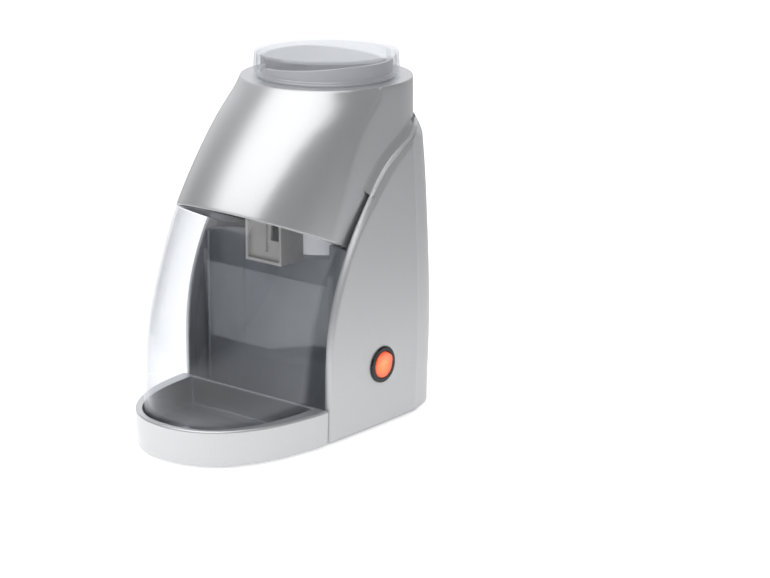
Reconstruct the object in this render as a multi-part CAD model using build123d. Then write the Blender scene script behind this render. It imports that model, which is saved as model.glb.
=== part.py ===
"""Electric ice crusher: a hopper with a clear lid over a vertical crushing rotor, a two-stage
gearbox and motor in the rear housing, and a clear ice container that pulls out on its tray.

Millimetres, +Z up, front towards -Y, origin on the floor under the middle of the body.
"""

import math
import os

from build123d import *

# ---------------------------------------------------------------- driving dimensions
floor_gap = 1.8            # housing skirt and tray above the floor
axis_y = 46.2              # lid, hopper, rotor and motor share this vertical axis
ring_z = 219.7             # top face of the upper housing
ring_r = 55.4              # radius of the round top of the upper housing
shell = 2.4                # wall of the silver mouldings

# Nose form: one surface shared by the clear container and the upper housing above it.
nose_front = [(0, -106.4), (24, -107.6), (48, -108.0), (76, -104.6), (105, -93.6), (135, -79.4),
              (162, -62.6), (182, -46.4), (202, -27.8), (ring_z, axis_y - ring_r)]
nose_half = [(0, 50.2), (24, 51.2), (76, 54.0), (126, 56.0), (162, 56.3), (ring_z, ring_r)]
nose_centre = [(0, -32.0), (126, 1.2), (182, 22.0), (ring_z, axis_y - 0.6)]
nose_power = [(0, 2.4), (126, 2.33), (182, 2.15), (ring_z, 2.0)]

# Rear housing: plan sections about the axis, fullest at a third of its height.
rear_half = [(0, 62.6), (34, 63.4), (72, 63.8), (110, 63.3), (148, 62.4), (179, 61.4), (204, 59.0)]
rear_power = [(0, 2.4), (72, 2.38), (110, 2.3), (148, 2.2), (179, 2.07), (204, 2.0)]
rear_reach = 64.0          # axis to the back of the housing at its fullest
front_toe_in = 1.6         # how much narrower the side panels are at their front edge
panel_front_y = -23.0      # lower, upright run of the panels' front edge
rim_wall = 3.8             # turned-in rim along the panels' front edge
rim_top_z = 193.0          # rim around the back of the round tower
shoulder = [(63.2, 177.0), (61.1, 184.5), (57.0, rim_top_z)]  # rounds the rim in to the tower
rim_inner_x = 59.0         # the rim's bevelled face runs out from here
rim_bevel = 4.0            # to this much further out, on the panel's face
rim_depth = 7.0            # how far the turned-in rim runs back before the wall thins

# Lower edge of the upper housing, a plane that climbs towards the front.
brow_z = 123.2             # its height at y = 0
brow_slope = 0.43          # rise towards the front for each millimetre
brow_inner_z = 118.0       # the level lower edge further back, inside the rear housing
notch_top_z = 154.0        # below this the tower stands clear of the panels' rims

# Tray and container.
tray_half = 61.9
tray_front_y = -112.0
tray_centre_y = -17.5
tray_power = 2.24
tray_rear_y = -26.4
tray_rim_z = 24.4
tray_floor_z = 4.6
tray_floor = 1.8
tray_draft = 0.8           # the tray is this much narrower all round at its foot
pocket_gap = 0.7           # joint line between tray and container
container_wall = 1.8
container_rear_y = -13.0
container_heel_y = -30.0   # rear of the container down in the tray
container_sill_z = 100.0   # top of its rear wall, low enough to pass under the chute
container_gap = 1.0        # joint line between the container and the upper housing
drawer_travel = 120.0

# Hopper, chamber and lid.
hopper_r = 38.5            # bore of the hopper
hopper_wall = 2.2
collar_r = 43.0            # outer radius of the ramped collar under the lid
collar_top_z = 231.4
collar_low_z = 226.4       # foot of each ramp
collar_flange_r = 44.9
collar_flange = 2.6
chamber_r = 41.6           # bore of the crushing chamber
chamber_outer_r = 44.0
chamber_top_z = 152.0
chamber_foot_z = 111.0
notch_angle = 228.0        # middle of the lug notch, from +X round to the front left
notch_span = 34.0          # degrees
ramp_span = 84.0           # degrees
lid_r = 46.4
lid_flare = 0.9
lid_top_z = 235.8
lid_wall = 1.5
lid_skin = 1.9
lid_edge = 1.2
lug_width = 6.0
lid_lift_travel = 60.0

# Chute that drops the crushed ice into the container.
chute_half = 15.0
chute_front_y = -16.5
chute_foot_z = 107.5
chute_top_z = 140.0
chute_wall = 2.0
window_half = 12.6         # outlet window in the chamber wall
window_top_z = 134.0

# Drive: motor pinion -> lay gear, lay pinion -> output gear, both pairs on one centre distance.
module = 1.0
motor_teeth, lay_teeth = 12, 48
lay_pinion_teeth, output_teeth = 15, 45
backlash = 0.16
pressure_angle = math.radians(20)
shaft_r = 4.0
layshaft_r = 2.5
motor_shaft_r = 2.0
running = 0.04             # radial clearance of a shaft in its bush
gear_width = 5.0
pinion_width = 7.6

gearbox_floor_z = 73.0
gearbox_floor = 3.4
gearbox_height = 24.0      # foot of the case to the seat of its cover
gearbox_wall = 2.0
cover_thick = 3.0
chamber_floor = 3.6

motor_r = 23.0
motor_foot_z = 24.0
can_wall = 1.6
armature_r = 14.5

# Round rocker switch on the right-hand panel.
switch_y, switch_z = 25.7, 42.3
bezel_r = 11.9
bezel_proud = 1.3
bezel_seat = 0.25          # depth of the flat that the bezel sits in
rocker_r = 8.6
rocker_tilt = 7.0          # degrees each side of level

# Base, feet and fasteners.
plate_thick = 2.6
plate_gap = 0.4            # base plate to the inside of the housing
tongue_half = 40.0
tongue_front_y = -96.0
tongue_gap = 0.4           # tongue to the tray that slides on it
foot_r = 7.0
screw_r = 1.6
gland_z = 22.0

centre_distance = module * (motor_teeth + lay_teeth) / 2
lay_y = axis_y + centre_distance


# ---------------------------------------------------------------- small helpers
def value_at(stops, z):
    """Value at height z on the straight runs between (height, value) stops."""
    for (z0, v0), (z1, v1) in zip(stops, stops[1:]):
        if z <= z1:
            return v0 + (v1 - v0) * (z - z0) / (z1 - z0)
    return stops[-1][1]


def half_superellipse(half, reach, power, y, z, towards):
    """Half outline from -X to +X, bowed to the front (towards=-1) or the back (+1)."""
    count = 14
    points = []
    for i in range(count + 1):
        angle = math.pi * i / count
        c, s = math.cos(angle), math.sin(angle)
        across = -math.copysign(half * abs(c) ** (2 / power), c)
        along = reach * abs(s) ** (2 / power) if 0 < i < count else 0.0
        points.append((across, y + towards * along, z))
    return Spline(*points, tangents=[(0, towards, 0), (0, -towards, 0)])


upright = (Align.CENTER, Align.CENTER, Align.MIN)


def cylinder(r, z0, z1, x=0.0, y=axis_y):
    return Pos(x, y, z0) * Cylinder(r, z1 - z0, align=upright)


def tube(r_out, r_in, z0, z1, x=0.0, y=axis_y):
    return cylinder(r_out, z0, z1, x, y) - cylinder(r_in, z0, z1, x, y)


def block(x0, x1, y0, y1, z0, z1):
    return Pos(x0, y0, z0) * Box(x1 - x0, y1 - y0, z1 - z0, align=(Align.MIN,) * 3)


def turned(points):
    """Solid of revolution about the main axis from (radius, height) points."""
    face = make_face(Polyline([(r, 0, z) for r, z in points], close=True))
    return Pos(0, axis_y, 0) * revolve(face, Axis.Z)


def side_extrusion(edges, half=90.0):
    """Prism along X from a closed outline drawn in the YZ plane."""
    return extrude(make_face(edges), half, dir=(1, 0, 0), both=True)


def screw(x, y, z, length, up=True, head_r=3.0, r=screw_r):
    """Pan-head screw whose head sits at z and whose shank runs up or down from it."""
    head = 2.0
    solid = Cylinder(r, length, align=(Align.CENTER, Align.CENTER, Align.MIN))
    solid += Pos(0, 0, -head) * Cylinder(head_r, head, align=(Align.CENTER, Align.CENTER, Align.MIN))
    solid -= Pos(0, 0, -head) * (Box(3.2, 0.8, 1.6) + Box(0.8, 3.2, 1.6))
    if not up:
        solid = Rot(180, 0, 0) * solid
    return Pos(x, y, z) * solid


# ---------------------------------------------------------------- shared forms
def nose_form(inset, z_top=ring_z):
    """Solid of the nose surface, set in by inset, from the floor to its round top."""
    sections = []
    for z, front in nose_front:
        half = value_at(nose_half, z) - inset
        centre = value_at(nose_centre, z)
        power = value_at(nose_power, z)
        reach = centre - front - inset
        outline = half_superellipse(half, reach, power, centre, z, -1)
        right = Line((half, centre, z), (half, axis_y, z))
        rear = ThreePointArc((half, axis_y, z), (0, axis_y + half, z), (-half, axis_y, z))
        left = Line((-half, axis_y, z), (-half, centre, z))
        sections.append(Face(Wire([outline, right, rear, left])))
    return loft(sections)


def rear_form(inset):
    """Solid of the rear housing's plan sections, set in by inset, before its edge is cut."""
    sections = []
    front = panel_front_y - 4.0
    for z, half_out in rear_half:
        half = half_out - inset
        reach = half_out * rear_reach / 63.8 - inset
        rear = half_superellipse(half, reach, value_at(rear_power, z), axis_y, z, 1)
        toe = half - front_toe_in
        right = Spline((half, axis_y, z), (toe, front, z), tangents=[(0, -1, 0), (-0.05, -1, 0)])
        left = Spline((-toe, front, z), (-half, axis_y, z), tangents=[(-0.05, 1, 0), (0, 1, 0)])
        nose = Line((toe, front, z), (-toe, front, z))
        sections.append(Face(Wire([rear, right, nose, left])))
    return loft(sections)


def panel_edge_outline(x, sweep_points):
    """Closed outline, in the plane at x, of all that lies behind a swept edge."""
    low_z, back_y = -20.0, 140.0
    points = [(x, panel_front_y + y, z) for y, z in sweep_points]
    first, last = points[0], points[-1]
    upright = Line((x, first[1], low_z), first)
    sweep = Spline(*points, tangents=[(0, 0, 1), (0, 1, 0.35)])
    top = Line(last, (x, back_y, rim_top_z))
    down = Line((x, back_y, rim_top_z), (x, back_y, low_z))
    foot = Line((x, back_y, low_z), (x, first[1], low_z))
    return Face(Wire([upright, sweep, top, down, foot]))


# The bevelled rim's crease on the panel's face, and its crest beside the tower: distance behind
# the upright front edge, then height.
rim_crease = [(0, 42), (4.5, 83.5), (15, 111), (26.6, 130), (47, 151), (63, 165), (78, 174.5),
              (90, 180), (104, rim_top_z)]
rim_crest = [(-2.2, 42), (2.1, 83.5), (12.4, 111), (23, 130), (39.5, 152), (54.3, 168.5),
             (70.8, 179.5), (86.3, 187), (98, rim_top_z)]


def behind_panel_edge(back=0.0):
    """Space behind the panels' swept and bevelled edge, moved back and down by a distance."""
    beyond = 2.0           # the bevel is carried on past the panel's face
    far = [(y0 + (y1 - y0) * beyond, z0 + (z1 - z0) * beyond)
           for (y0, z0), (y1, z1) in zip(rim_crest, rim_crease)]
    outer_x = rim_inner_x + rim_bevel * beyond
    outlines = [panel_edge_outline(-outer_x, far), panel_edge_outline(-rim_inner_x, rim_crest),
                panel_edge_outline(rim_inner_x, rim_crest), panel_edge_outline(outer_x, far)]
    return Pos(0, back, -back) * loft(outlines, ruled=True)


def under_shoulder():
    """Space under the rounded shoulder that closes the rim in on the round tower."""
    (r0, z0), _, (r2, z2) = shoulder
    far_r, low_z = 120.0, -20.0
    arc = ThreePointArc(*[(r, 0, z) for r, z in shoulder])
    rest = Polyline((r2, 0, z2), (0, 0, z2), (0, 0, low_z), (far_r, 0, low_z), (far_r, 0, z0),
                    (r0, 0, z0))
    return Pos(0, axis_y, 0) * revolve(make_face(arc + rest), Axis.Z)


def above_brow(lift=0.0):
    """Space above the upper housing's lower edge."""
    y_front, y_back = -140.0, (brow_z - brow_inner_z) / brow_slope
    z_front = brow_z - brow_slope * y_front
    corners = [(0, y_front, z_front + lift), (0, y_back, brow_inner_z + lift),
               (0, 140, brow_inner_z + lift), (0, 140, 300), (0, y_front, 300)]
    return side_extrusion(Polyline(corners, close=True))


def below_brow(drop):
    """Space under the brow plane, lowered by a joint line."""
    y_front, y_back = -140.0, 140.0
    corners = [(0, y_front, brow_z - brow_slope * y_front - drop),
               (0, y_back, brow_z - brow_slope * y_back - drop), (0, y_back, -20), (0, y_front, -20)]
    return side_extrusion(Polyline(corners, close=True))


# ---------------------------------------------------------------- outer mouldings
def make_rear_housing():
    outer = rear_form(0.0)
    body = outer & behind_panel_edge() & under_shoulder()
    body -= rear_form(rim_wall)
    body -= rear_form(shell) & behind_panel_edge(rim_depth)
    body -= block(-90, 90, -140, 140, -20, floor_gap)
    body -= on_switch_axis(Cylinder(switch_neck_r, 20), switch_face_x)
    body -= on_switch_axis(Cylinder(bezel_r + 0.15, 5, align=upright), switch_face_x - bezel_seat)
    body -= Pos(0, axis_y + rear_reach, gland_z) * Rot(90, 0, 0) * Cylinder(gland_neck_r, 20)
    return body


def make_upper_housing():
    body = nose_form(0.0)
    seat = rear_form(rim_wall + seat_gap) & behind_panel_edge(seat_step)
    body += seat & block(-90, 90, -140, 140, notch_top_z, rim_top_z - seat_step)
    body -= nose_form(shell) & block(-90, 90, -140, 140, -20, ring_z - shell)
    body &= above_brow()
    body -= cylinder(collar_r + collar_gap, ring_z - 20, ring_z + 1)
    return body


seat_gap = 0.3             # upper housing to the rim that it sits in
seat_step = 0.8            # its seat lies this much below the rim
collar_gap = 0.3
switch_neck_r = bezel_r - 1.7
gland_neck_r = 5.0


def bay_outline(half, depth, front_y, z):
    """Plan of the bay behind the container: two rounded corners and a shallow hollow back."""
    corner = 16.0
    side = front_y + depth - corner - 5.0
    right = Line((half, front_y, z), (half, side, z))
    turn_right = TangentArc((half, side, z), (half - corner, side + corner, z), tangent=(0, 1, 0))
    back = ThreePointArc((half - corner, side + corner, z), (0, front_y + depth, z),
                         (corner - half, side + corner, z))
    turn_left = TangentArc((-half, side, z), (corner - half, side + corner, z), tangent=(0, 1, 0))
    left = Line((-half, side, z), (-half, front_y, z))
    close = Line((-half, front_y, z), (half, front_y, z))
    return Face(Wire([right, turn_right, back, turn_left, left, close]))


def make_bay_wall():
    half, depth, wall = 56.2, 22.0, 2.0
    front_y = -6.0
    z0, z1 = floor_gap + plate_thick, brow_inner_z - 0.4
    body = extrude(bay_outline(half + wall, depth + wall, front_y, z0), z1 - z0, dir=(0, 0, 1))
    body -= extrude(bay_outline(half, depth, front_y, z0), z1 - z0, dir=(0, 0, 1))
    return body - cylinder(chamber_outer_r + 0.2, chamber_foot_z - floor_flange - 0.2, z1 + 1)


def make_base_plate():
    z0, z1 = floor_gap, floor_gap + plate_thick
    body = rear_form(shell + plate_gap) & block(-90, 90, panel_front_y, 140, z0, z1)
    rim = rear_form(rim_wall + plate_gap) & block(-90, 90, -140, 140, z0, z1)
    body = rim + (body & block(-90, 90, panel_front_y + rim_depth, 140, z0, z1))
    body &= block(-90, 90, tray_rear_y + 0.8, 140, z0, z1)
    tongue_top = tray_floor_z - tongue_gap
    tongue = block(-tongue_half, tongue_half, tongue_front_y, panel_front_y + 6, z0, tongue_top)
    tongue = fillet(tongue.edges().filter_by(Axis.Z).group_by(Axis.Y)[0], 12)
    body += tongue
    for x, y in column_places:
        body += cylinder(5.0, z1, gearbox_floor_z, x, y)
        body -= cylinder(screw_r, z0, gearbox_floor_z, x, y)
        body -= cylinder(3.6, z0, z0 + 1.2, x, y)
    for i in range(16):
        slot = Pos(0, axis_y, z0) * Rot(0, 0, i * 360 / 16) * Pos(16, 0, 0) * Box(10, 2, 20)
        body -= slot
    return body


column_places = [(x, y) for x in (-33.0, 33.0) for y in (axis_y - 12.0, lay_y - 6.0)]


def make_feet():
    feet = []
    for x, y in [(-46, -8), (46, -8), (-40, 84), (40, 84), (-28, tongue_front_y + 12),
                 (28, tongue_front_y + 12)]:
        feet.append(cylinder(foot_r, 0, floor_gap, x, y))
    return Compound(children=feet)


# ---------------------------------------------------------------- drawer
def tray_outline(inset, z):
    half, reach = tray_half - inset, tray_centre_y - tray_front_y - inset
    front = half_superellipse(half, reach, tray_power, tray_centre_y, z, -1)
    close = Line((half, tray_centre_y, z), (-half, tray_centre_y, z))
    return Face(Wire([front, close]))


def make_drawer_tray():
    z0, z1 = floor_gap, tray_rim_z
    outer = loft([tray_outline(tray_draft, z0), tray_outline(0, z1)])
    outer &= block(-90, 90, -140, tray_rear_y, z0, z1)
    rim_edges = outer.faces().sort_by(Axis.Z)[-1].edges()
    outer = fillet(rim_edges, 1.3)
    hollow = loft([tray_outline(tray_draft + 2.2, z0 - 1), tray_outline(2.2, z1 - 2.2)])
    hollow &= block(-90, 90, -140, tray_rear_y - 2.0, z0 - 1, z1 - 2.2)
    well = nose_form(-pocket_gap - container_wall) & heel_region(-pocket_gap - 1.3)
    well &= block(-90, 90, -140, 140, tray_floor_z, z1)
    body = outer - (hollow - well)
    pocket = nose_form(-pocket_gap) & heel_region(-pocket_gap)
    body -= pocket & block(-90, 90, -140, 140, tray_floor_z + tray_floor, z1 + 1)
    body -= block(-tongue_half - 1, tongue_half + 1, tray_rear_y - 5, tray_rear_y + 1, -1, tray_floor_z)
    return body


def heel_region(inset):
    """Space in front of the container's rear wall, which steps back above the tray."""
    heel, rear = container_heel_y - inset, container_rear_y - inset
    corners = [(0, -140, -20), (0, heel, -20), (0, heel, 24.0), (0, heel + 4.0, 31.0),
               (0, rear - 1.0, 45.0), (0, rear, 50.0), (0, rear, 107.0), (0, rear + 5.5, 115.0),
               (0, rear + 10.0, 123.0), (0, rear + 10.0, 200), (0, -140, 200)]
    return side_extrusion(Polyline(corners, close=True))


def make_ice_container():
    z0 = tray_floor_z + tray_floor
    top = below_brow(container_gap)
    body = nose_form(0.4) & heel_region(0.0) & top & block(-90, 90, -140, 140, z0, 200)
    inside = nose_form(0.4 + container_wall) & heel_region(container_wall)
    body -= inside & block(-90, 90, -140, 140, z0 + container_wall, 220)
    body -= block(-50.5, 50.5, container_rear_y - container_wall - 0.5, 20, container_sill_z, 220)
    return body


# ---------------------------------------------------------------- lid and hopper
def make_lid():
    wall_z = ring_z + 0.25
    outer = turned([(0, wall_z), (lid_r + lid_flare, wall_z), (lid_r, lid_top_z), (0, lid_top_z)])
    outer = fillet(outer.edges().group_by(Axis.Z)[-1], lid_edge)
    inner = turned([(0, wall_z - 1), (lid_r + lid_flare - lid_wall, wall_z - 1),
                    (lid_r - lid_wall, lid_top_z - lid_skin), (0, lid_top_z - lid_skin)])
    body = outer - inner
    reach = lid_r - lid_wall + 0.5 - lug_inner_r
    for turn in (0, 180):
        lug = Box(reach, lug_width, lid_top_z - lid_skin - lug_foot_z,
                  align=(Align.MIN, Align.CENTER, Align.MIN))
        angle = notch_angle + notch_span / 2 - 7.0 + turn
        body += Pos(0, axis_y, lug_foot_z) * Rot(0, 0, angle) * Pos(lug_inner_r, 0, 0) * lug
    return body


lug_inner_r = collar_r - 1.4
lug_foot_z = collar_low_z - 1.2


def make_hopper():
    flange_z = ring_z + 0.05
    wall_r = hopper_r + hopper_wall
    outside = [(hopper_r, chamber_foot_z), (chamber_outer_r, chamber_foot_z),
               (chamber_outer_r, chamber_top_z), (wall_r, chamber_top_z + 8), (wall_r, flange_z - 6),
               (collar_r, flange_z - 3), (collar_r, flange_z), (collar_flange_r, flange_z),
               (collar_flange_r, flange_z + collar_flange / 2), (collar_r + 0.8, flange_z + collar_flange / 2),
               (collar_r + 0.8, flange_z + collar_flange), (collar_r, flange_z + collar_flange),
               (collar_r, collar_top_z), (collar_r - 1.8, collar_top_z), (hopper_r, flange_z + 1)]
    body = turned(outside)
    body -= turned([(0, chamber_foot_z - 1), (chamber_r, chamber_foot_z - 1), (chamber_r, chamber_top_z - 4),
                    (hopper_r, chamber_top_z + 2), (0, chamber_top_z + 2)])
    for turn in (0, 180):
        body -= ramp_cutter(turn)
        body -= notch_cutter(turn)
    body -= block(-window_half, window_half, axis_y - 60, axis_y - 20, chamber_foot_z + chamber_floor,
                  window_top_z)
    for bar in fixed_bars():
        body -= bar
    return body


def sector(r, start, span, z0, z1):
    """Wedge of a disc about the main axis, from a start angle round through a span."""
    steps = 6
    points = [(0, 0)]
    for i in range(steps + 1):
        angle = math.radians(start + span * i / steps)
        points.append((r * math.cos(angle), r * math.sin(angle)))
    return Pos(0, axis_y, z0) * extrude(make_face(Polyline(points, close=True)), z1 - z0)


def notch_cutter(turn):
    start = notch_angle - notch_span / 2 + turn
    return sector(60, start, notch_span, lug_foot_z - 0.5, 300) - cylinder(hopper_r - 2, 0, 400)


def ramp_cutter(turn):
    """Space above a ramp that climbs from the notch round towards the right."""
    start = notch_angle + notch_span / 2 + turn - 0.5
    run = 2 * collar_r * math.sin(math.radians(ramp_span / 2))
    climb = math.degrees(math.atan2(collar_top_z - collar_low_z, run))
    slab = Box(run * 1.6, 120, 60, align=(Align.CENTER, Align.CENTER, Align.MIN))
    middle = math.radians(start + ramp_span / 2)
    height = (collar_top_z + collar_low_z) / 2
    place = Pos(0, axis_y, height) * Rot(0, 0, math.degrees(middle) + 90) * Rot(0, -climb, 0)
    wedge = sector(60, start, ramp_span, collar_low_z - 0.4, 300)
    return (wedge & (place * slab)) - cylinder(hopper_r - 2, 0, 400)


def make_chamber_floor():
    z0 = chamber_foot_z
    body = cylinder(chamber_r - 0.1, z0, z0 + chamber_floor)
    body += tube(chamber_outer_r, 30, z0 - floor_flange, z0)
    body += cylinder(9, z0 - 5, z0)
    body -= cylinder(bush_r, z0 - 6, z0 + chamber_floor + 1)
    return body


bush_r = shaft_r + running + 2.0
floor_flange = 2.4


def make_ice_chute():
    x, z0, z1 = chute_half, chute_foot_z, chute_top_z
    back_y = axis_y - math.sqrt(chamber_outer_r ** 2 - chute_half ** 2)
    body = block(-x, x, chute_front_y, back_y, z0, z1)
    body -= cylinder(chamber_outer_r, z0 - 1, z1 + 1)
    body -= block(-x + chute_wall, x - chute_wall, chute_front_y + 4.0, axis_y, z0 - 1, window_top_z)
    body -= block(-x + chute_wall, x - chute_wall, chute_front_y - 1, chute_front_y + 2.2,
                  z0 + chute_wall, z1 - chute_wall)
    body += block(-0.5, 1.5, chute_front_y + 0.8, chute_front_y + 3.0, z0 + 7, z1 - 4)
    body -= block(4.5, x - chute_wall - 1, chute_front_y - 1, chute_front_y + 5, z0 + 15, z1 - 6)
    return body


# ---------------------------------------------------------------- crushing rotor
arm_levels = [117.0, 126.0, 135.0]
arm_thick = 2.4
arm_reach = 39.6
comb_levels = [121.4, 130.4]
hub_r = 8.0


def make_rotor_shaft():
    body = cylinder(shaft_r, output_gear_z - 1.4, hub_top_z + 6)
    return body


output_gear_z = gearbox_floor_z + gearbox_floor + 12.6
hub_foot_z = chamber_foot_z + chamber_floor + 1.0
hub_top_z = arm_levels[-1] + arm_thick + 3.0


def make_crusher_rotor():
    body = turned([(0, hub_foot_z), (hub_r + 4, hub_foot_z), (hub_r, hub_foot_z + 1.4),
                   (hub_r, hub_top_z - 1.5), (hub_r - 1.5, hub_top_z), (0, hub_top_z)])
    body -= cylinder(shaft_r, 0, 300)
    for level, turn in zip(arm_levels, arm_turns):
        body -= arm(level, turn, 0.0)
    return body


arm_turns = [20.0, 140.0, 260.0]


def arm(level, turn, teeth_depth):
    """One crushing arm: a flat bar through the hub with a saw-toothed leading edge."""
    width = 9.0
    points = [(-hub_r + 1, -width / 2), (arm_reach - 6, -width / 2), (arm_reach, 0)]
    pitch = 5.0
    count = int((arm_reach - hub_r - 2) / pitch)
    if teeth_depth:
        x = arm_reach - 2.0
        points.append((x, width / 2))
        for _ in range(count):
            points.append((x - pitch * 0.45, width / 2 - teeth_depth))
            x -= pitch
            points.append((x, width / 2))
    else:
        points.append((arm_reach - 2.0, width / 2))
    points.append((-hub_r + 1, width / 2))
    blade = extrude(make_face(Polyline(points, close=True)), arm_thick)
    return Pos(0, axis_y, level) * Rot(0, 0, turn) * blade


def make_rotor_blades():
    blades = []
    for level, turn in zip(arm_levels, arm_turns):
        blades.append(arm(level, turn, 1.6) - cylinder(shaft_r, 0, 300))
    return Compound(children=blades)


def make_rotor_nut():
    z = hub_top_z
    nut = extrude(RegularPolygon(5.8, 6), 5.0)
    nut = Pos(0, axis_y, z) * nut
    return nut - cylinder(shaft_r, z - 1, z + 9)


def fixed_bars():
    """Two fixed bars from the chamber wall, each between two levels of the turning arms."""
    bars = []
    for level, turn in zip(comb_levels, (200.0, 340.0)):
        bar = block(hub_r + 2, chamber_outer_r - 0.6, -4, 4, 0, 2.2)
        bar -= Pos(hub_r + 2, 4, 0) * Rot(0, 0, 45) * Box(4, 4, 10)
        bar = Pos(0, axis_y, level) * Rot(0, 0, turn) * bar
        bars.append(bar)
    return bars


def make_fixed_blade():
    return Compound(children=fixed_bars())


# ---------------------------------------------------------------- gearbox
def spur_gear(teeth, z0, width, bore, y, tooth_at):
    """Involute spur gear with one tooth centred at tooth_at degrees."""
    pitch_r = module * teeth / 2
    base_r = pitch_r * math.cos(pressure_angle)
    tip_r, root_r = pitch_r + 0.95 * module, pitch_r - 1.2 * module
    half_at_pitch = math.pi / (2 * teeth) - backlash / (4 * pitch_r)
    involute = math.tan(pressure_angle) - pressure_angle

    def half_angle(r):
        if r <= base_r:
            return half_at_pitch + involute
        angle = math.acos(base_r / r)
        return half_at_pitch + involute - (math.tan(angle) - angle)

    radii = [root_r, pitch_r - 0.35 * module, pitch_r + 0.3 * module, tip_r]
    points = []
    for i in range(teeth):
        centre = math.radians(tooth_at) + 2 * math.pi * i / teeth
        for r in radii:
            points.append((r, centre - half_angle(r)))
        for r in reversed(radii):
            points.append((r, centre + half_angle(r)))
    outline = Polyline([(r * math.cos(a), r * math.sin(a)) for r, a in points], close=True)
    gear = extrude(make_face(outline), width)
    gear -= Cylinder(bore, 4 * width)
    return Pos(0, y, z0) * gear


def tooth_gap(teeth, direction):
    """Angle that puts a gap, not a tooth, in the given direction."""
    return direction + 180 / teeth


lay_gear_z = gearbox_floor_z + gearbox_floor + 3.0


def web(gear, r_out, r_in, z0, depth, y):
    """Thin a gear's web on both faces."""
    top = tube(r_out, r_in, z0 + gear_width - depth, z0 + gear_width + 1, 0, y)
    bottom = tube(r_out, r_in, z0 - 1, z0 + depth, 0, y)
    return gear - top - bottom


def make_output_gear():
    gear = spur_gear(output_teeth, output_gear_z, gear_width, shaft_r, axis_y, 90)
    return web(gear, 18.5, 8.0, output_gear_z, 1.4, axis_y)


def make_lay_gear():
    gear = spur_gear(lay_teeth, lay_gear_z, gear_width, layshaft_r, lay_y, tooth_gap(lay_teeth, -90))
    return web(gear, 20.0, 6.5, lay_gear_z, 1.4, lay_y)


def make_lay_pinion():
    gear_z = output_gear_z - 1.0
    return spur_gear(lay_pinion_teeth, gear_z, gear_width + 2, layshaft_r, lay_y,
                     tooth_gap(lay_pinion_teeth, -90))


def make_motor_pinion():
    return spur_gear(motor_teeth, lay_gear_z - 1.3, pinion_width, motor_shaft_r, axis_y, 90)


def make_layshaft():
    return cylinder(layshaft_r, gearbox_floor_z + 0.6, cover_z + cover_thick, 0, lay_y)


cover_z = gearbox_floor_z + gearbox_height


def gearbox_outline(r):
    return Rot(0, 0, 90) * SlotCenterToCenter(centre_distance, 2 * r)


gearbox_r = module * (lay_teeth / 2 + 1) + 1.2 + gearbox_wall


def make_gearbox_case():
    middle_y = (axis_y + lay_y) / 2
    z0 = gearbox_floor_z
    body = Pos(0, middle_y, z0) * extrude(gearbox_outline(gearbox_r), gearbox_height)
    body -= Pos(0, middle_y, z0 + gearbox_floor) * extrude(gearbox_outline(gearbox_r - gearbox_wall), 60)
    for x, y in column_places:
        inner = math.copysign(22, x)
        body += cylinder(5.0, z0, z0 + 4, x, y)
        body += block(min(x, inner), max(x, inner), y - 3, y + 3, z0, z0 + 4) - hollow_case(z0)
    for x, y in column_places:
        body -= cylinder(screw_r, z0 - 1, z0 + 5, x, y)
    body -= cylinder(motor_shaft_r + 2.0, z0 - 1, z0 + gearbox_floor + 1)
    body -= cylinder(layshaft_r + 2.0, z0 + 0.6, z0 + gearbox_floor + 1, 0, lay_y)
    return body


def hollow_case(z0):
    middle_y = (axis_y + lay_y) / 2
    return Pos(0, middle_y, z0 + gearbox_floor) * extrude(gearbox_outline(gearbox_r - gearbox_wall), 60)


def make_gearbox_cover():
    middle_y = (axis_y + lay_y) / 2
    body = Pos(0, middle_y, cover_z) * extrude(gearbox_outline(gearbox_r), cover_thick)
    body += cylinder(bush_r + 2.2, cover_z, cover_z + cover_thick + 3)
    body -= cylinder(bush_r, cover_z - 1, cover_z + cover_thick + 4)
    body -= cylinder(layshaft_r + 2.0, cover_z - 1, cover_z + cover_thick + 1, 0, lay_y)
    for x, y in post_places:
        body += cylinder(3.6, cover_z + cover_thick, chamber_foot_z - floor_flange, x, y)
        body -= cylinder(screw_r, cover_z - 1, chamber_foot_z, x, y)
    return body


post_places = [(x, y) for x in (-20.0, 20.0) for y in (axis_y - 8.0, axis_y + 24.0)]


def make_shaft_bushes():
    low = tube(bush_r, shaft_r + running, cover_z, cover_z + cover_thick + 3)
    high = tube(bush_r, shaft_r + running, chamber_foot_z - 5, chamber_foot_z + chamber_floor - 1.4)
    return Compound(children=[low, high])


def make_layshaft_bushes():
    r = layshaft_r + 2.0
    low = tube(r, layshaft_r + running, gearbox_floor_z + 0.6, gearbox_floor_z + gearbox_floor, 0, lay_y)
    high = tube(r, layshaft_r + running, cover_z, cover_z + cover_thick, 0, lay_y)
    return Compound(children=[low, high])


def make_shaft_seal():
    z = chamber_foot_z + chamber_floor
    return tube(bush_r, shaft_r + 0.1, z - 1.4, z + 0.4)


# ---------------------------------------------------------------- motor
def make_motor_can():
    top = gearbox_floor_z
    body = cylinder(motor_r, motor_foot_z, top) - cylinder(motor_r - can_wall, motor_foot_z - 1, top - can_wall)
    body -= cylinder(motor_bearing_r, top - 5, top + 1)
    for turn in range(0, 360, 90):
        slot = Pos(0, axis_y, top - 9) * Rot(0, 0, turn + 45) * Pos(motor_r, 0, 0) * Box(6, 9, 4)
        body -= slot
    return body


motor_bearing_r = motor_shaft_r + 2.6


def make_motor_end_cap():
    z = motor_foot_z
    body = cylinder(motor_r, z - 2.4, z) + cylinder(motor_bearing_r + 2, z - 4.4, z + 4)
    body += tube(motor_r - can_wall, motor_r - can_wall - 1.6, z, z + 4)
    return body - cylinder(motor_bearing_r, z - 6, z + 6)


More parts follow.
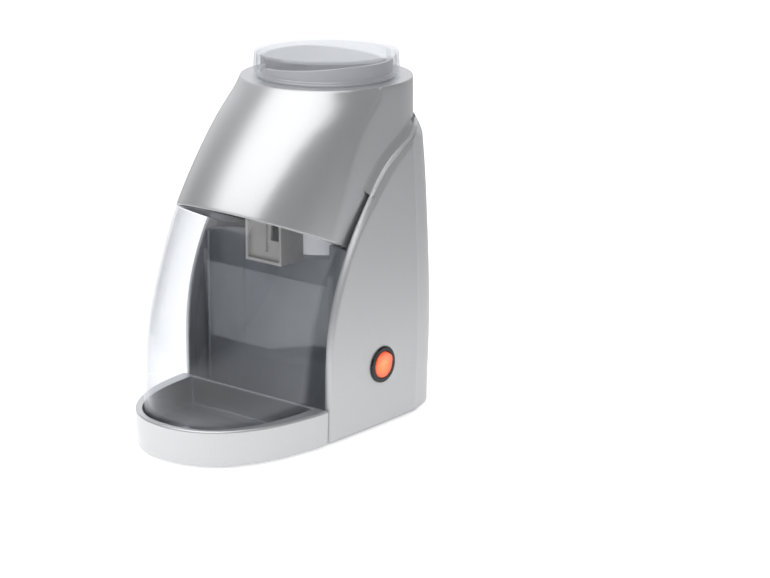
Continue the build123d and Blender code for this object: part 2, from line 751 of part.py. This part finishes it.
def make_motor_bearings():
    top, foot = gearbox_floor_z, motor_foot_z
    high = tube(motor_bearing_r, motor_shaft_r + running, top - can_wall, top)
    low = tube(motor_bearing_r, motor_shaft_r + running, foot - 4.4, foot + 4)
    return Compound(children=[low, high])


def make_motor_magnets():
    ring = tube(motor_r - can_wall, armature_r + 1.0, motor_foot_z + 12, gearbox_floor_z - 14)
    gap = Pos(0, axis_y, 50) * Box(2 * motor_r, 14, 60)
    halves = ring - gap
    return Compound(children=list(halves.solids()))


def make_armature():
    z0, z1 = motor_foot_z + 13, gearbox_floor_z - 15
    body = cylinder(armature_r, z0, z1)
    slots = 8
    for i in range(slots):
        turn = Rot(0, 0, i * 360 / slots)
        body -= Pos(0, axis_y, 50) * turn * Pos(armature_r - 1, 0, 0) * Box(6, 1.6, 60)
    return body - cylinder(motor_shaft_r, 0, 200)


def make_commutator():
    return tube(5.5, motor_shaft_r, motor_foot_z + 5.5, motor_foot_z + 12.5)


def make_carbon_brushes():
    z = motor_foot_z + 9
    left = Pos(-8.0, axis_y, z) * Box(4.6, 3, 4)
    right = Pos(8.0, axis_y, z) * Box(4.6, 3, 4)
    return Compound(children=[left, right])


def make_brush_holder():
    z = motor_foot_z + 9
    body = tube(motor_r - can_wall, 10.0, z - 4.6, z - 2.0)
    for side in (-1, 1):
        x0, x1 = sorted((side * 10.5, side * (motor_r - can_wall - 2)))
        body += block(x0, x1, axis_y - 3.2, axis_y + 3.2, z - 4.6, z + 3)
    return body


def make_motor_shaft():
    return cylinder(motor_shaft_r, fan_z - 0.8, lay_gear_z - 1.3 + pinion_width)


fan_z = 12.0


def make_cooling_fan():
    body = tube(5.0, motor_shaft_r, fan_z, fan_z + 6)
    body += tube(17.0, motor_shaft_r, fan_z + 5.0, fan_z + 6.2)
    for i in range(8):
        body += Pos(0, axis_y, fan_z + 3) * Rot(0, 0, 45 * i) * Pos(10.5, 0, 0) * Box(12.4, 1.0, 5)
    return body


# ---------------------------------------------------------------- switch, cord inlet, electrics
def panel_x(y, z):
    """Outer face of the right-hand panel at a place."""
    half = value_at(rear_half, z)
    t = (axis_y - y) / (axis_y - panel_front_y + 4.0)
    return half - front_toe_in * t * t


switch_face_x = panel_x(switch_y, switch_z)
rocker_pivot_x = switch_face_x - 0.6
pin_r = 1.0
pin_length = 2 * (switch_neck_r - 0.6)


def on_switch_axis(solid, x):
    return Pos(x, switch_y, switch_z) * Rot(0, 90, 0) * solid


def make_switch_body():
    x = switch_face_x
    rim = Cylinder(bezel_r, bezel_proud + bezel_seat, align=upright)
    rim = fillet(rim.edges().group_by(Axis.Z)[-1], 0.9)
    body = on_switch_axis(rim, x - bezel_seat)
    body += on_switch_axis(Cylinder(switch_neck_r - 0.15, 16, align=upright), x - 15.8)
    body -= on_switch_axis(Cylinder(rocker_r + 0.35, 14, align=upright), x - 7.5)
    pin = Pos(rocker_pivot_x, switch_y, switch_z) * Rot(90, 0, 0) * Cylinder(pin_r + running, pin_length + 0.4)
    body -= pin
    for y in (-4.0, 4.0):
        body += Pos(x - 18.4, switch_y + y, switch_z) * Box(7, 0.8, 4.8)
    return body


def make_switch_rocker():
    """Round rocker on two stub pins: a ball with a shallow V face, stored tipped to one side."""
    ball = Sphere(rocker_r)
    v_height = switch_face_x + bezel_proud + 0.1 - rocker_pivot_x
    for side in (-1, 1):
        cut = Rot(0, -side * rocker_tilt, 0) * Pos(20, 0, side * -20) * Box(40, 60, 40)
        ball -= Pos(v_height, 0, 0) * cut
    ball -= Pos(-15, 0, 0) * Box(20, 60, 60)
    ball += Rot(90, 0, 0) * Cylinder(pin_r, pin_length)
    return Pos(rocker_pivot_x, switch_y, switch_z) * Rot(0, rocker_tilt, 0) * ball


def make_cord_gland():
    y = axis_y + rear_reach
    body = Pos(0, y + 1.2, gland_z) * Rot(90, 0, 0) * Cylinder(gland_neck_r + 2.2, 2.4)
    body += Pos(0, y - 5, gland_z) * Rot(90, 0, 0) * Cylinder(gland_neck_r - 0.15, 10)
    return body - Pos(0, y, gland_z) * Rot(90, 0, 0) * Cylinder(3.3, 40)


def make_circuit_board():
    z = floor_gap + plate_thick + 6
    board = block(-24, 24, 78, 100, z, z + 1.6)
    board += cylinder(5, z + 1.6, z + 14, -12, 90) + block(2, 18, 84, 96, z + 1.6, z + 11)
    for x in (-20, 20):
        board += cylinder(2.2, floor_gap + plate_thick, z, x, 82)
    return board


# ---------------------------------------------------------------- fasteners
def make_base_screws():
    z = floor_gap + 1.2
    parts = []
    for x, y in column_places:
        parts.append(screw(x, y, z, 16))
    return Compound(children=parts)


def make_gearbox_screws():
    return Compound(children=[screw(x, y, cover_z, cover_thick + 8) for x, y in post_places])


nodes = {
    "rear_housing": make_rear_housing,
    "upper_housing": make_upper_housing,
    "bay_wall": make_bay_wall,
    "base_plate": make_base_plate,
    "feet": make_feet,
    "base_screws": make_base_screws,
    "drawer_tray": make_drawer_tray,
    "ice_container": make_ice_container,
    "lid": make_lid,
    "hopper": make_hopper,
    "chamber_floor": make_chamber_floor,
    "ice_chute": make_ice_chute,
    "rotor_shaft": make_rotor_shaft,
    "crusher_rotor": make_crusher_rotor,
    "rotor_blades": make_rotor_blades,
    "rotor_nut": make_rotor_nut,
    "fixed_blade": make_fixed_blade,
    "output_gear": make_output_gear,
    "lay_gear": make_lay_gear,
    "lay_pinion": make_lay_pinion,
    "layshaft": make_layshaft,
    "motor_pinion": make_motor_pinion,
    "gearbox_case": make_gearbox_case,
    "gearbox_cover": make_gearbox_cover,
    "gearbox_screws": make_gearbox_screws,
    "shaft_bushes": make_shaft_bushes,
    "layshaft_bushes": make_layshaft_bushes,
    "shaft_seal": make_shaft_seal,
    "motor_can": make_motor_can,
    "motor_end_cap": make_motor_end_cap,
    "motor_bearings": make_motor_bearings,
    "motor_magnets": make_motor_magnets,
    "armature": make_armature,
    "commutator": make_commutator,
    "carbon_brushes": make_carbon_brushes,
    "brush_holder": make_brush_holder,
    "motor_shaft": make_motor_shaft,
    "cooling_fan": make_cooling_fan,
    "switch_body": make_switch_body,
    "switch_rocker": make_switch_rocker,
    "cord_gland": make_cord_gland,
    "circuit_board": make_circuit_board,
}

os.makedirs("parts", exist_ok=True)
for name, make in nodes.items():
    export_step(make(), f"parts/{name}.step")
    print(name)
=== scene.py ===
"""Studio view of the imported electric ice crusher: finishes for its pieces, soft light and the camera.

Everything is in metres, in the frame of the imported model: +Z up, front towards -Y.
"""

import math

import bpy
from mathutils import Matrix, Vector
from mathutils.bvhtree import BVHTree


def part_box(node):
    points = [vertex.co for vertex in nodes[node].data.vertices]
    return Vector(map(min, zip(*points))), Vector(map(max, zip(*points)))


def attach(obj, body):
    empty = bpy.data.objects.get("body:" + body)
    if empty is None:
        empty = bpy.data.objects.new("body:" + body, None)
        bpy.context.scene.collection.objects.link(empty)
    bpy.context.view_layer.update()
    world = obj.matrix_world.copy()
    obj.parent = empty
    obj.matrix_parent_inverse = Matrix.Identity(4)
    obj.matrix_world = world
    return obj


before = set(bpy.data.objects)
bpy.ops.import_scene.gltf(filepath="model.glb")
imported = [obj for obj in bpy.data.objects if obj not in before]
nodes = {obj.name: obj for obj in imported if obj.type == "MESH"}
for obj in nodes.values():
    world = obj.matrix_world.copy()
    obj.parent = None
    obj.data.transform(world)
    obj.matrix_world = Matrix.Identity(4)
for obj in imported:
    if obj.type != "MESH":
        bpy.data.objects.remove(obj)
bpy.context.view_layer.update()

# ---------------------------------------------------------------- the photograph's camera
camera_at = Vector((0.9594, -1.0978, 0.5079))
camera_yaw = math.radians(38.519)      # turned left from +Y
camera_pitch = math.radians(16.126)    # looking down
camera_roll = math.radians(0.28)
sensor_width = 36.0
focal_length = 110.36

# ---------------------------------------------------------------- light
studio_fill = 0.31                     # strength of the studio's walls and ceiling
backdrop_side = (-0.60, 0.76, 0.25)    # the white backdrop stands behind the object
backdrop_fade = (0.5, 0.95)            # cosines off that way where its white starts and is full
floor_half = 6.0
floor_white = 0.62                     # glow that the camera sees on the paper
light_pool_near, light_pool_far = 0.85, 0.0      # painted pool of light that reflections see on the paper, at its middle and out at reach
# middle and reach of the painted pool of light on the paper
light_pool_middle = (-0.1, -0.25, 0)
light_pool_reach = 0.9
key_at, key_aim = Vector((-0.02, -0.52, 1.34)), Vector((0, 0, 0.14))
key_size = (1.9, 1.5)
key_power = 15.5

# ---------------------------------------------------------------- colours
silver = (0.60, 0.605, 0.615)
silver_light = (0.66, 0.665, 0.675)
clear_tint = (0.968, 0.972, 0.978)
lid_tint = (0.935, 0.938, 0.945)
wall_grey = (0.30, 0.315, 0.345)
spout_grey = (0.72, 0.70, 0.67)
gear_white = (0.80, 0.79, 0.74)
# painted light: a lighter copy of the silver paint, making up for light the collar lacks under the lid
collar_silver_lit_copy = (0.86, 0.865, 0.88)
gloss_white = (0.9, 0.92, 0.95)        # what clear plastic's gloss reflects with
lens_orange = (0.86, 0.20, 0.07)


# ---------------------------------------------------------------- node helpers
class Finish:
    """A material's node tree with its shader, and short ways to add procedural detail to it."""

    def __init__(self, name, colour, roughness, metallic=0.0):
        self.material = bpy.data.materials.new(name)
        self.material.use_nodes = True
        self.tree = self.material.node_tree
        self.shader = self.tree.nodes["Principled BSDF"]
        self.output = self.tree.nodes["Material Output"]
        self.colour = colour
        self.roughness = roughness
        self.shader.inputs["Base Color"].default_value = (*colour, 1)
        self.shader.inputs["Roughness"].default_value = roughness
        self.shader.inputs["Metallic"].default_value = metallic
        self.place = self.add("ShaderNodeTexCoord").outputs["Object"]
        self.normal = None

    def add(self, kind, **values):
        node = self.tree.nodes.new(kind)
        for key, value in values.items():
            setattr(node, key, value)
        return node

    def link(self, source, target):
        self.tree.links.new(source, target)

    def noise(self, size, detail=2.0, stretch=(1, 1, 1)):
        """Noise whose features are about size metres across."""
        scaled = self.add("ShaderNodeMapping")
        scaled.inputs["Scale"].default_value = stretch
        self.link(self.place, scaled.inputs["Vector"])
        node = self.add("ShaderNodeTexNoise")
        node.inputs["Scale"].default_value = 1 / size
        node.inputs["Detail"].default_value = detail
        self.link(scaled.outputs["Vector"], node.inputs["Vector"])
        return node.outputs["Fac"]

    def ramp(self, value, stops):
        """Colour that goes through stops, each a position and a colour."""
        node = self.add("ShaderNodeValToRGB")
        node.color_ramp.elements[0].position = stops[0][0]
        node.color_ramp.elements[0].color = (*stops[0][1], 1)
        node.color_ramp.elements[1].position = stops[-1][0]
        node.color_ramp.elements[1].color = (*stops[-1][1], 1)
        for position, colour in stops[1:-1]:
            node.color_ramp.elements.new(position).color = (*colour, 1)
        self.link(value, node.inputs["Fac"])
        return node.outputs["Color"]

    def mottle(self, size, amount):
        """Base colour that drifts lighter and darker by amount over patches of a size."""
        dark = tuple(c * (1 - amount) for c in self.colour)
        light = tuple(min(1.0, c * (1 + amount)) for c in self.colour)
        colour = self.ramp(self.noise(size, 4), [(0.3, dark), (0.7, light)])
        self.link(colour, self.shader.inputs["Base Color"])
        return self

    def sheen_drift(self, size, amount, stretch=(1, 1, 1)):
        """Roughness that drifts by amount over patches of a size."""
        node = self.add("ShaderNodeMapRange")
        node.inputs["To Min"].default_value = self.roughness - amount
        node.inputs["To Max"].default_value = self.roughness + amount
        self.link(self.noise(size, 3, stretch), node.inputs["Value"])
        self.link(node.outputs["Result"], self.shader.inputs["Roughness"])
        return self

    def grain(self, size, height, detail=2.0, stretch=(1, 1, 1)):
        """Bumps of a size and height, added to whatever shapes the normal already."""
        node = self.add("ShaderNodeBump")
        node.inputs["Distance"].default_value = height
        self.link(self.noise(size, detail, stretch), node.inputs["Height"])
        if self.normal:
            self.link(self.normal, node.inputs["Normal"])
        self.normal = node.outputs["Normal"]
        self.link(self.normal, self.shader.inputs["Normal"])
        return self

    def soft_edges(self, radius):
        """Catch the light along moulded edges, as their small radius does."""
        node = self.add("ShaderNodeBevel", samples=6)
        node.inputs["Radius"].default_value = radius
        self.normal = node.outputs["Normal"]
        self.link(self.normal, self.shader.inputs["Normal"])
        return self

    def over_clear(self, tint, face_on, edge_on, steepness):
        """Show what lies behind, with the shader as a gloss that grows towards grazing views."""
        layer = self.add("ShaderNodeLayerWeight")
        steep = self.add("ShaderNodeMath", operation="POWER")
        steep.inputs[1].default_value = steepness
        self.link(layer.outputs["Facing"], steep.inputs[0])
        share = self.add("ShaderNodeMapRange")
        share.inputs["To Min"].default_value = face_on
        share.inputs["To Max"].default_value = edge_on
        self.link(steep.outputs["Value"], share.inputs["Value"])
        through = self.add("ShaderNodeBsdfTransparent")
        through.inputs["Color"].default_value = (*tint, 1)
        mix = self.add("ShaderNodeMixShader")
        self.link(share.outputs["Result"], mix.inputs["Fac"])
        self.link(through.outputs["BSDF"], mix.inputs[1])
        self.link(self.shader.outputs["BSDF"], mix.inputs[2])
        self.link(mix.outputs["Shader"], self.output.inputs["Surface"])
        return self


# ---------------------------------------------------------------- finishes
def silver_paint(name, colour, roughness, edge, metallic=0.72):
    """Metallic silver paint on moulded plastic: fine flake, faint orange peel, soft edges."""
    paint = Finish(name, colour, roughness, metallic)
    paint.soft_edges(edge).grain(0.0016, 0.000004).grain(0.00035, 0.0000022, 0)
    paint.mottle(0.0004, 0.05).sheen_drift(0.03, 0.03)
    paint.shader.inputs["Coat Weight"].default_value = 0.12
    paint.shader.inputs["Coat Roughness"].default_value = 0.25
    return paint.material


def clear_plastic(name, tint, roughness, waviness):
    """Thin clear styrene with slight flow waves: see-through face on, glossy at its edges."""
    clear = Finish(name, gloss_white, roughness, metallic=1.0)
    clear.grain(0.03, waviness, 1).sheen_drift(0.02, roughness * 0.5)
    clear.over_clear(tint, face_on=0.03, edge_on=0.6, steepness=3.0)
    return clear.material


def moulded(name, colour, roughness, depth=0.00001):
    """Plain moulded part: fine texture of a depth, slight flow marks, soft edges."""
    plastic = Finish(name, colour, roughness)
    plastic.soft_edges(0.0003).grain(0.0006, depth).mottle(0.012, 0.05).sheen_drift(0.01, 0.05)
    return plastic.material


def turned_metal(name, colour, roughness):
    """Turned or ground metal: fine rings round the vertical axis."""
    metal = Finish(name, colour, roughness, metallic=1.0)
    metal.soft_edges(0.0002).grain(0.0006, 0.000004, 1, (0.2, 0.2, 6))
    metal.mottle(0.004, 0.06).sheen_drift(0.002, 0.06, (0.3, 0.3, 4))
    return metal.material


def lit_lens(name):
    """Translucent orange rocker with a neon lamp behind its middle."""
    lamp_offset, glow_radius = 0.0005, 0.009
    lens = Finish(name, lens_orange, 0.22)
    low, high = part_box("switch_rocker")
    middle = (low + high) / 2
    away = lens.add("ShaderNodeVectorMath", operation="DISTANCE")
    away.inputs[1].default_value = (high.x, middle.y - lamp_offset, middle.z)
    lens.link(lens.place, away.inputs[0])
    share = lens.add("ShaderNodeMath", operation="DIVIDE")
    share.inputs[1].default_value = glow_radius
    lens.link(away.outputs["Value"], share.inputs[0])
    glow = [(0.0, (1.0, 0.50, 0.14)), (0.4, (1.0, 0.30, 0.10)), (0.75, (0.90, 0.15, 0.07)),
            (1.0, (0.55, 0.06, 0.03))]
    lens.link(lens.ramp(share.outputs["Value"], glow), lens.shader.inputs["Emission Color"])
    lens.shader.inputs["Emission Strength"].default_value = 0.75
    lens.grain(0.0012, 0.00001).mottle(0.004, 0.08)
    return lens.material


def stack_metal(name):
    """Motor armature: stacked steel sheets seen as fine level lines."""
    metal = Finish(name, (0.42, 0.42, 0.43), 0.35, metallic=1.0)
    metal.grain(0.001, 0.00003, 0, (0.02, 0.02, 3)).mottle(0.003, 0.12).sheen_drift(0.004, 0.08)
    return metal.material


finishes = {
    silver_paint("silver_panel", silver_light, 0.40, 0.0032): ["rear_housing"],
    silver_paint("silver_hood", silver, 0.33, 0.0025): ["upper_housing"],
    silver_paint("silver_tray", silver_light, 0.34, 0.0007): ["drawer_tray"],
    # painted light: the collar's silver is lighter and less metallic than the other silver parts' paint
    silver_paint("silver_collar_painted_light", collar_silver_lit_copy, 0.30, 0.0008, 0.35): ["hopper"],
    clear_plastic("clear_container", clear_tint, 0.06, 0.00004): ["ice_container"],
    clear_plastic("clear_lid", lid_tint, 0.05, 0.00002): ["lid"],
    moulded("wall_plastic", wall_grey, 0.36, 0.000002): ["bay_wall"],
    moulded("spout_plastic", spout_grey, 0.40): ["ice_chute"],
    moulded("dark_plastic", (0.055, 0.056, 0.06), 0.5): [
        "base_plate", "gearbox_case", "gearbox_cover", "motor_end_cap", "brush_holder"],
    moulded("floor_plastic", (0.36, 0.37, 0.39), 0.42): ["chamber_floor"],
    moulded("black_plastic", (0.012, 0.012, 0.014), 0.22): ["switch_body", "cord_gland"],
    moulded("foot_rubber", (0.03, 0.03, 0.03), 0.75, 0.00003): ["feet", "shaft_seal"],
    moulded("gear_plastic", gear_white, 0.42): [
        "output_gear", "lay_gear", "lay_pinion", "cooling_fan"],
    moulded("ferrite", (0.045, 0.045, 0.05), 0.6, 0.00003): ["motor_magnets", "carbon_brushes"],
    moulded("solder_mask", (0.02, 0.13, 0.05), 0.35): ["circuit_board"],
    turned_metal("zinc_steel", (0.60, 0.61, 0.63), 0.34): ["base_screws", "gearbox_screws",
                                                          "motor_can", "rotor_nut"],
    turned_metal("stainless", (0.66, 0.66, 0.67), 0.26): [
        "rotor_shaft", "crusher_rotor", "rotor_blades", "fixed_blade", "layshaft", "motor_shaft",
        "motor_pinion"],
    turned_metal("bronze", (0.62, 0.42, 0.20), 0.4): ["shaft_bushes", "layshaft_bushes",
                                                     "motor_bearings"],
    turned_metal("copper", (0.72, 0.33, 0.17), 0.3): ["commutator"],
    stack_metal("lamination"): ["armature"],
    lit_lens("lit_lens"): ["switch_rocker"],
}


for material, names in finishes.items():
    for name in names:
        slots = nodes[name].data.materials
        slots.clear()
        slots.append(material)


# ---------------------------------------------------------------- fillets along the rims
# The rim's crest above the notch in the hood's flank: distance along Y, then height.
crest_run = [(0.0182, 0.1545), (0.0313, 0.1685), (0.0478, 0.1795), (0.0633, 0.1870),
             (0.0700, 0.1904)]
fillet_reach = 0.0075      # how far ahead of the crest the fillet starts on the hood
fillet_lap = 0.0016        # how far its ridge lies behind the rim's crest
fillet_proud = 0.0008      # how far its ridge stands off the rim's bevel
hood_probe = 0.0015        # how far ahead of the crest the hood's flank is measured
hood_offset = 0.00005      # under the hood's skin where it starts, over it where it bends
rim_sink = 0.0001          # how far its outer edge goes under the rim's bevel
ridge_bulge = 0.6          # share of the ridge's height that its outer side bulges by
crest_rows, hollow_steps, ridge_steps = 40, 8, 5
probe_from, probe_length = 0.09, 0.06  # where a probe starts beside the object, and its reach


def surface_of(name):
    """A node's mesh as a tree that probes are cast on."""
    mesh = nodes[name].data
    return BVHTree.FromPolygons([v.co for v in mesh.vertices],
                                [p.vertices for p in mesh.polygons])


def flank_x(surface, side, y, z):
    """X of a surface's outer skin on one side of the object, or None beside it."""
    start = Vector((side * probe_from, y, z))
    place = surface.ray_cast(start, Vector((-side, 0, 0)), probe_length)[0]
    return place.x if place else None


def crest_points(count):
    """Points and forward directions along the crest, on a smooth curve through its run."""
    points = []
    spans = len(crest_run) - 1
    for step in range(count):
        place = step / (count - 1) * spans
        index = min(int(place), spans - 1)
        share = place - index
        p0, p1, p2, p3 = [Vector(crest_run[max(0, min(spans, index + k))]) for k in (-1, 0, 1, 2)]
        point = 0.5 * (2 * p1 + (p2 - p0) * share + (2 * p0 - 5 * p1 + 4 * p2 - p3) * share ** 2
                       + (3 * p1 - p0 - 3 * p2 + p3) * share ** 3)
        along = ((p2 - p0) * (1 - share) + (p3 - p1) * share).normalized()
        points.append((point, Vector((-along.y, along.x))))
    return points


def bend(first, middle, last, t):
    """Point at t on the quadratic curve from first to last that leans towards middle."""
    return (1 - t) ** 2 * first + 2 * t * (1 - t) * middle + t ** 2 * last


def make_rim_fillet(name, side):
    """Concave fillet that carries the hood's flank up on to the rim and closes the joint."""
    hood, shell = surface_of("upper_housing"), surface_of("rear_housing")
    rows = []
    for point, ahead in crest_points(crest_rows):
        lap = point - ahead * fillet_lap
        start = point + ahead * fillet_reach
        back = lap - ahead * fillet_lap
        x_lap = flank_x(shell, side, *lap)
        x_start = flank_x(hood, side, *start)
        x_foot = flank_x(hood, side, *(point + ahead * hood_probe))
        x_back = flank_x(shell, side, *back)
        if None in (x_lap, x_start, x_foot, x_back):
            continue
        first = Vector((x_start - side * hood_offset, *start))
        middle = Vector((x_foot + side * hood_offset, *point))
        last = Vector((x_lap + side * fillet_proud, *lap))
        landing = Vector((x_back - side * rim_sink, *back))
        bulge = (last + landing) / 2 + Vector((side * fillet_proud * ridge_bulge, 0, 0))
        hollow = [bend(first, middle, last, step / hollow_steps)
                  for step in range(hollow_steps + 1)]
        ridge = [bend(last, bulge, landing, step / ridge_steps)
                 for step in range(1, ridge_steps + 1)]
        rows.append(hollow + ridge)
    mesh = bpy.data.meshes.new(name)
    corners = [corner for row in rows for corner in row]
    wide = len(rows[0])
    faces = []
    for i in range(len(rows) - 1):
        for j in range(wide - 1):
            face = (i * wide + j, i * wide + j + 1, (i + 1) * wide + j + 1, (i + 1) * wide + j)
            faces.append(face if side > 0 else face[::-1])
    mesh.from_pydata(corners, [], faces)
    mesh.shade_smooth()
    piece = bpy.data.objects.new(name, mesh)
    bpy.context.scene.collection.objects.link(piece)
    mesh.materials.append(nodes["upper_housing"].data.materials[0])
    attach(piece, "housing")


make_rim_fillet("rim_fillet_right", 1)
make_rim_fillet("rim_fillet_left", -1)


# ---------------------------------------------------------------- floor, light and camera
def seen_by(tree, *rays):
    """1 for the named kinds of ray and 0 for the others."""
    path = tree.nodes.new("ShaderNodeLightPath")
    seen = path.outputs[rays[0]]
    for ray in rays[1:]:
        either = tree.nodes.new("ShaderNodeMath")
        either.operation = "MAXIMUM"
        tree.links.new(seen, either.inputs[0])
        tree.links.new(path.outputs[ray], either.inputs[1])
        seen = either.outputs["Value"]
    return seen


def pick(tree, share, otherwise, chosen):
    """A number that goes from one value or socket to another by a share."""
    node = tree.nodes.new("ShaderNodeMix")
    tree.links.new(share, node.inputs["Factor"])
    for name, value in (("A", otherwise), ("B", chosen)):
        if isinstance(value, float):
            node.inputs[name].default_value = value
        else:
            tree.links.new(value, node.inputs[name])
    return node.outputs["Result"]


def make_floor():
    """White paper: it glows evenly to the camera, and to reflections with a painted pool of light that
    fades outwards.
    """
    mesh = bpy.data.meshes.new("floor")
    corners = [(x * floor_half, y * floor_half, 0)
               for x, y in ((-1, -1), (1, -1), (1, 1), (-1, 1))]
    mesh.from_pydata(corners, [], [(0, 1, 2, 3)])
    floor = bpy.data.objects.new("floor", mesh)
    bpy.context.scene.collection.objects.link(floor)
    material = bpy.data.materials.new("white_floor")
    material.use_nodes = True
    tree = material.node_tree
    shader = tree.nodes["Principled BSDF"]
    shader.inputs["Base Color"].default_value = (0.86, 0.86, 0.87, 1)
    shader.inputs["Roughness"].default_value = 0.35
    place = tree.nodes.new("ShaderNodeTexCoord")
    away = tree.nodes.new("ShaderNodeVectorMath")
    away.operation = "DISTANCE"
    away.inputs[1].default_value = light_pool_middle
    tree.links.new(place.outputs["Object"], away.inputs[0])
    fade = tree.nodes.new("ShaderNodeMapRange")
    fade.inputs["From Max"].default_value = light_pool_reach
    fade.inputs["To Min"].default_value = light_pool_near
    fade.inputs["To Max"].default_value = light_pool_far
    tree.links.new(away.outputs["Value"], fade.inputs["Value"])
    # reflections see a painted pool of light round the object, fading to nothing at its reach
    reflected_light_pool = pick(tree, seen_by(tree, "Is Glossy Ray"), 0.0, fade.outputs["Result"])
    strength = pick(tree, seen_by(tree, "Is Camera Ray", "Is Transmission Ray"),
                    reflected_light_pool, floor_white)
    glow = tree.nodes.new("ShaderNodeEmission")
    tree.links.new(strength, glow.inputs["Strength"])
    both = tree.nodes.new("ShaderNodeAddShader")
    tree.links.new(shader.outputs["BSDF"], both.inputs[0])
    tree.links.new(glow.outputs["Emission"], both.inputs[1])
    tree.links.new(both.outputs["Shader"], tree.nodes["Material Output"].inputs["Surface"])
    mesh.materials.append(material)


def make_world():
    """White to the camera; to all else a dim studio with a white backdrop on one side."""
    world = bpy.data.worlds.new("studio")
    bpy.context.scene.world = world
    world.use_nodes = True
    tree = world.node_tree
    background = tree.nodes["Background"]
    background.inputs["Color"].default_value = (0.97, 0.98, 1.0, 1)
    place = tree.nodes.new("ShaderNodeTexCoord")
    facing = tree.nodes.new("ShaderNodeVectorMath")
    facing.operation = "DOT_PRODUCT"
    facing.inputs[1].default_value = Vector(backdrop_side).normalized()
    tree.links.new(place.outputs["Generated"], facing.inputs[0])
    fade = tree.nodes.new("ShaderNodeMapRange")
    fade.interpolation_type = "SMOOTHSTEP"
    fade.inputs["From Min"].default_value = backdrop_fade[0]
    fade.inputs["From Max"].default_value = backdrop_fade[1]
    fade.inputs["To Min"].default_value = studio_fill
    fade.inputs["To Max"].default_value = 1.0
    tree.links.new(facing.outputs["Value"], fade.inputs["Value"])
    strength = pick(tree, seen_by(tree, "Is Camera Ray", "Is Transmission Ray"),
                    fade.outputs["Result"], 1.0)
    tree.links.new(strength, background.inputs["Strength"])


def make_key_light():
    lamp = bpy.data.lights.new("key_light", "AREA")
    lamp.shape = "RECTANGLE"
    lamp.size, lamp.size_y = key_size
    lamp.energy = key_power
    holder = bpy.data.objects.new("key_light", lamp)
    bpy.context.scene.collection.objects.link(holder)
    holder.location = key_at
    holder.rotation_mode = "QUATERNION"
    holder.rotation_quaternion = (key_aim - key_at).to_track_quat("-Z", "Y")


def make_camera():
    data = bpy.data.cameras.new("photo_camera")
    data.sensor_width = sensor_width
    data.lens = focal_length
    data.clip_start, data.clip_end = 0.05, 30.0
    camera = bpy.data.objects.new("photo_camera", data)
    bpy.context.scene.collection.objects.link(camera)
    level = math.cos(camera_pitch)
    ahead = Vector((-math.sin(camera_yaw) * level, math.cos(camera_yaw) * level,
                    -math.sin(camera_pitch)))
    side = ahead.cross(Vector((0, 0, 1))).normalized()
    up = side.cross(ahead)
    right = math.cos(camera_roll) * side + math.sin(camera_roll) * up
    above = -math.sin(camera_roll) * side + math.cos(camera_roll) * up
    turn = Matrix((right, above, -ahead)).transposed()
    camera.matrix_world = Matrix.Translation(camera_at) @ turn.to_4x4()
    bpy.context.scene.camera = camera


make_floor()
make_world()
make_key_light()
make_camera()
bpy.context.scene.view_settings.view_transform = "Standard"
